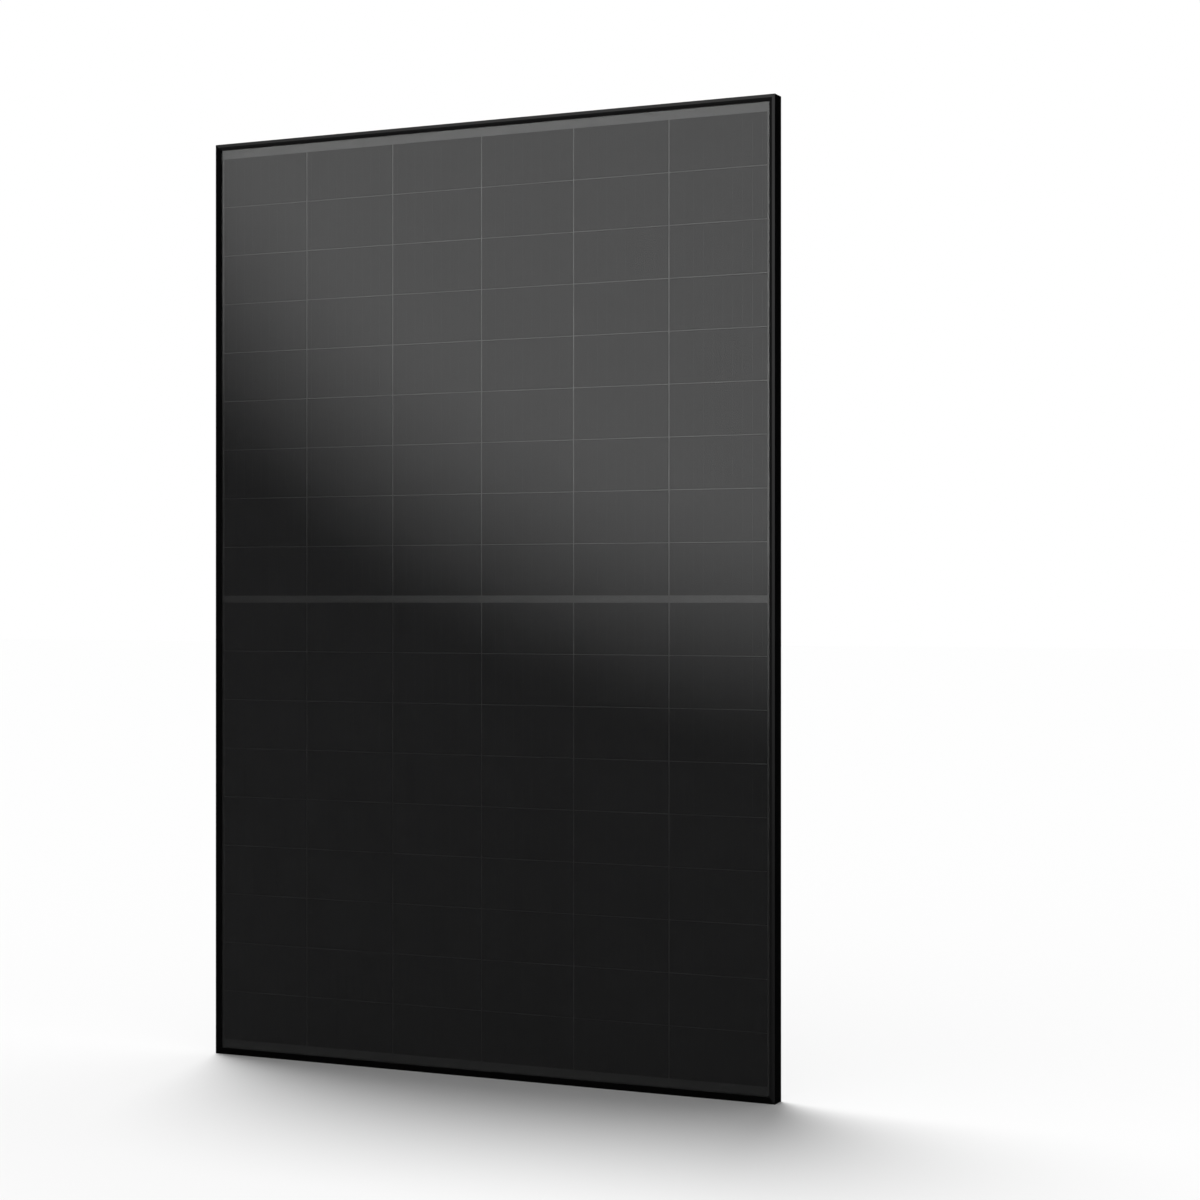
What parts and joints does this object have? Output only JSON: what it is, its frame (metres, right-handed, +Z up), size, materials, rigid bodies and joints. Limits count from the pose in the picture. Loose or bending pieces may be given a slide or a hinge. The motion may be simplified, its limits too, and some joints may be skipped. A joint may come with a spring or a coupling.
{
  "type": "solar panel",
  "caption": "Framed glass-glass solar panel of half-cut cells with split junction boxes, short cables and latching connectors behind it.",
  "frame": {"origin": "centre of the panel on the frame's rear mounting plane", "axes": "+Z up along the long side, +X to the right as seen from the front, +Y out of the back; the front faces -Y"},
  "size_m": [1.134, 0.03, 1.722],
  "materials": {
    "frame_black": "black anodised, fine satin",
    "key_aluminium": "mill finish",
    "sealant": "cured silicone, satin",
    "front_glass": "low-iron tempered glass, antireflective, fine satin gloss",
    "rear_glass": "low-iron tempered glass, glossy",
    "encapsulant": "clear cured film",
    "print_black": "black glaze line print",
    "print_white": "white glaze line print",
    "cell_silicon": "blue-black textured silicon, antireflective",
    "ribbon": "black-coated tinned copper ribbon",
    "box_plastic": "black moulded, fine spark texture",
    "potting": "dark silicone potting, glossy",
    "copper": "tinned copper plate",
    "diode_epoxy": "black epoxy",
    "cable_jacket": "black cross-linked jacket, satin",
    "connector_plastic": "black moulded nylon, satin",
    "contact_metal": "tin-plated copper",
    "seal_rubber": "black silicone rubber"
  },
  "bodies": {
    "panel": {"frame_left": "frame_black", "frame_right": "frame_black", "frame_top": "frame_black", "frame_bottom": "frame_black", "corner_keys": "key_aluminium", "edge_sealant": "sealant", "front_glass": "front_glass", "rear_glass": "rear_glass", "front_encapsulant": "encapsulant", "rear_encapsulant": "encapsulant", "grid_print_black": "print_black", "grid_print_white": "print_white", "ribbons_top": "ribbon", "ribbons_middle": "ribbon", "ribbons_bottom": "ribbon", "box_adhesive": "sealant", "cells_upper_1": "cell_silicon", "cells_lower_1": "cell_silicon", "cells_upper_2": "cell_silicon", "cells_lower_2": "cell_silicon", "cells_upper_3": "cell_silicon", "cells_lower_3": "cell_silicon", "cells_upper_4": "cell_silicon", "cells_lower_4": "cell_silicon", "cells_upper_5": "cell_silicon", "cells_lower_5": "cell_silicon", "cells_upper_6": "cell_silicon", "cells_lower_6": "cell_silicon", "plug_box_base": "box_plastic", "plug_box_terminals": "copper", "plug_box_diode": "diode_epoxy", "plug_box_potting": "potting", "middle_box_base": "box_plastic", "middle_box_terminals": "copper", "middle_box_diode": "diode_epoxy", "middle_box_potting": "potting", "socket_box_base": "box_plastic", "socket_box_terminals": "copper", "socket_box_diode": "diode_epoxy", "socket_box_potting": "potting", "plug_gland": "box_plastic", "plug_cable": "cable_jacket", "plug_seal": "seal_rubber", "socket_gland": "box_plastic", "socket_cable": "cable_jacket", "socket_seal": "seal_rubber", "plug_body": "connector_plastic", "plug_pin": "contact_metal", "socket_body": "connector_plastic", "socket_sleeve": "contact_metal", "socket_ring": "seal_rubber"},
    "plug_lid": {"plug_box_lid": "box_plastic"},
    "middle_lid": {"middle_box_lid": "box_plastic"},
    "socket_lid": {"socket_box_lid": "box_plastic"},
    "plug_back_nut": {"plug_nut": "connector_plastic"},
    "socket_back_nut": {"socket_nut": "connector_plastic"},
    "outer_latch": {"plug_latch_outer": "connector_plastic"},
    "inner_latch": {"plug_latch_inner": "connector_plastic"}
  },
  "joints": [
    {"name": "plug_lid_lift", "type": "slide", "parent": "panel", "child": "plug_lid", "axis": [0, 1, 0], "range_m": [0, 0.012]},
    {"name": "middle_lid_lift", "type": "slide", "parent": "panel", "child": "middle_lid", "axis": [0, 1, 0], "range_m": [0, 0.012]},
    {"name": "socket_lid_lift", "type": "slide", "parent": "panel", "child": "socket_lid", "axis": [0, 1, 0], "range_m": [0, 0.012]},
    {"name": "plug_nut_turn", "type": "hinge", "parent": "panel", "child": "plug_back_nut", "pos_m": [-0.4558, -0.011, -0.152], "axis": [0, 0, 1], "range_deg": [0, 360]},
    {"name": "socket_nut_turn", "type": "hinge", "parent": "panel", "child": "socket_back_nut", "pos_m": [0.4558, -0.011, -0.152], "axis": [0, 0, 1], "range_deg": [0, 360]},
    {"name": "outer_latch_press", "type": "hinge", "parent": "panel", "child": "outer_latch", "pos_m": [-0.4655, -0.011, -0.1724], "axis": [0, -1, 0], "range_deg": [0, 3], "stiffness_Nm_per_rad": 4},
    {"name": "inner_latch_press", "type": "hinge", "parent": "panel", "child": "inner_latch", "pos_m": [-0.4461, -0.011, -0.1724], "axis": [0, 1, 0], "range_deg": [0, 3], "stiffness_Nm_per_rad": 4}
  ]
}
